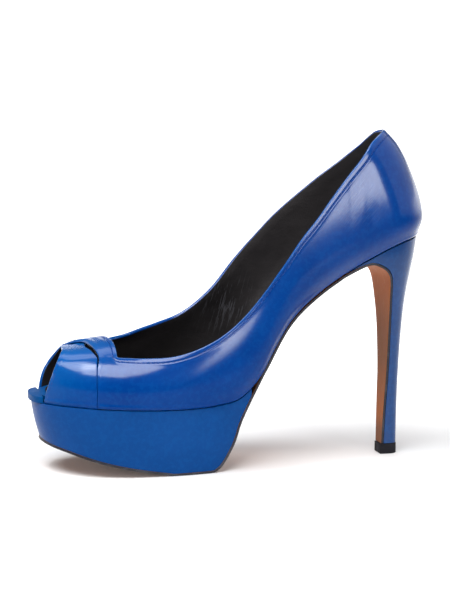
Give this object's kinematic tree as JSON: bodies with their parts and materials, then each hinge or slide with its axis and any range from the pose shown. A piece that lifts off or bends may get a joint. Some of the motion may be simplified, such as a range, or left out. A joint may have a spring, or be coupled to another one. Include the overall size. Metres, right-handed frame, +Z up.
{
  "type": "platform shoe",
  "caption": "Blue leather peep-toe platform pump with a crossed strap at the vamp and a covered stiletto heel, left shoe.",
  "frame": {"origin": "centre of the footprint on the floor, under the middle of the bounding box", "axes": "+Z up, toe toward -X, heel toward +X, lateral side toward -Y, medial side toward +Y"},
  "size_m": [0.2234, 0.0802, 0.1851],
  "materials": {
    "upper_leather": "smooth semi-gloss",
    "cover_leather": "smooth semi-gloss",
    "insole_leather": "satin",
    "lining_leather": "matt",
    "sole_leather": "satin",
    "heel_cover": "smooth semi-gloss",
    "toplift_rubber": "matt"
  },
  "bodies": {
    "root": {"upper": "upper_leather", "platform": "cover_leather", "insole_board": "insole_leather", "sock_lining": "lining_leather", "outsole": "sole_leather", "heel": "heel_cover", "toplift": "toplift_rubber"}
  },
  "joints": []
}
